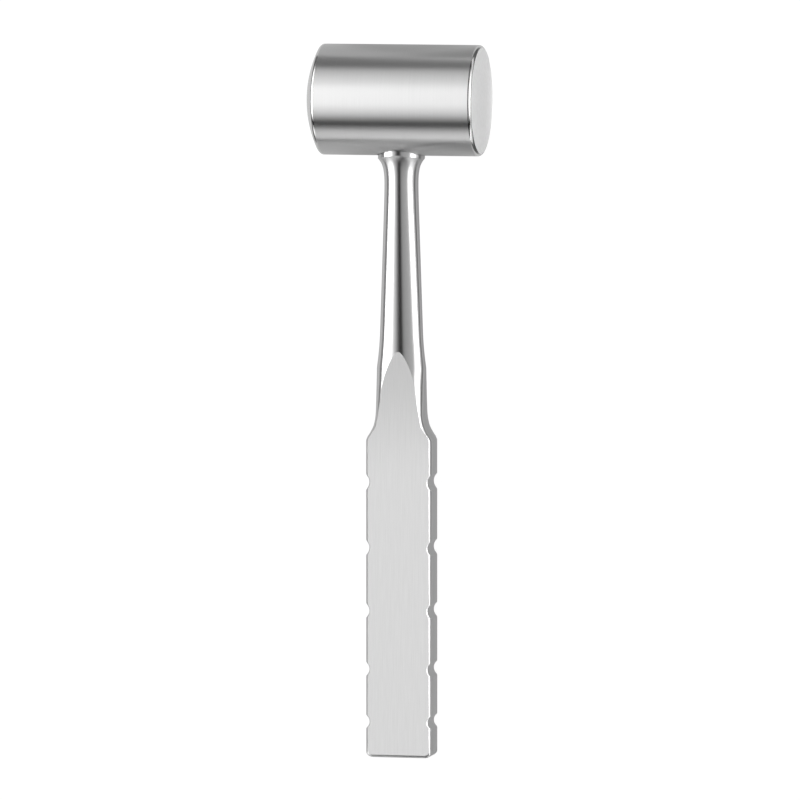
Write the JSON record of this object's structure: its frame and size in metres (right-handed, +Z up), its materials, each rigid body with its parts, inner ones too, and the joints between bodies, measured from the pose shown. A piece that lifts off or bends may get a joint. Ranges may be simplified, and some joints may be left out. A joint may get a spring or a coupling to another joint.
{
  "type": "surgical mallet",
  "caption": "Solid steel bone mallet with a cylindrical head, flat at one end and domed at the other, on a tapered neck and a flat grip with rounded edges and finger notches.",
  "frame": {"origin": "on the ground plane, under the middle of the mallet's outline as it lies at rest on its side", "axes": "+X along the head towards its flat striking face, +Y from the butt towards the head, +Z up, with the head's round wall and the butt's lower edge on the ground"},
  "size_m": [0.0476, 0.193, 0.03],
  "materials": {
    "head_satin_steel": "satin turned stainless steel with polished bevels",
    "handle_polished_steel": "polished stainless steel neck and edges, lengthwise brushed flats"
  },
  "bodies": {
    "root": {"head": "head_satin_steel", "handle": "handle_polished_steel"}
  },
  "joints": []
}
